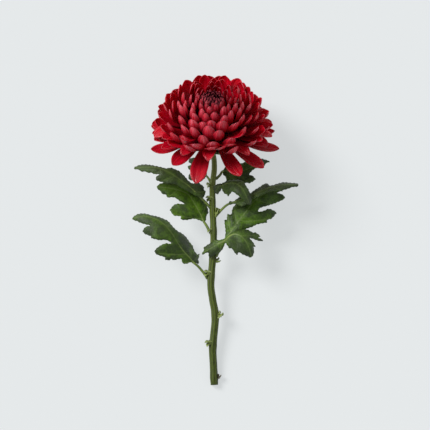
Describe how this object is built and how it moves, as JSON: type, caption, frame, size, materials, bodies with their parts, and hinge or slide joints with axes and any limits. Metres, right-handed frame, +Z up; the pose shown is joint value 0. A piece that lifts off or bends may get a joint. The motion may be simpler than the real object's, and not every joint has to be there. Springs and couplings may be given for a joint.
{
  "type": "pompon chrysanthemum",
  "caption": "Single cut chrysanthemum lying on a table: a full round bloom of deep red incurved florets round a dark eye, on a short ribbed stem with lobed leaves.",
  "frame": {"origin": "middle of the flower's bounding box, on the table top that it lies on", "axes": "+Y along the stem from its cut end to the bloom, +Z up from the table, +X to the right of the bloom seen from above with the bloom away from the viewer"},
  "size_m": [0.1326, 0.245, 0.0893],
  "materials": {
    "petal_red": "satin",
    "eye_maroon": "satin",
    "leaf_green": "satin",
    "stem_green": "satin"
  },
  "bodies": {
    "root": {"bloom": "petal_red", "eye": "eye_maroon", "calyx": "stem_green", "stem": "stem_green", "leaf_lower_left": "leaf_green", "leaf_middle_left": "leaf_green", "leaf_upper_left": "leaf_green", "leaf_back_left": "leaf_green", "leaf_lower_right": "leaf_green", "leaf_middle_right": "leaf_green", "leaf_top_front": "leaf_green", "leaf_back_right": "leaf_green"}
  },
  "joints": []
}
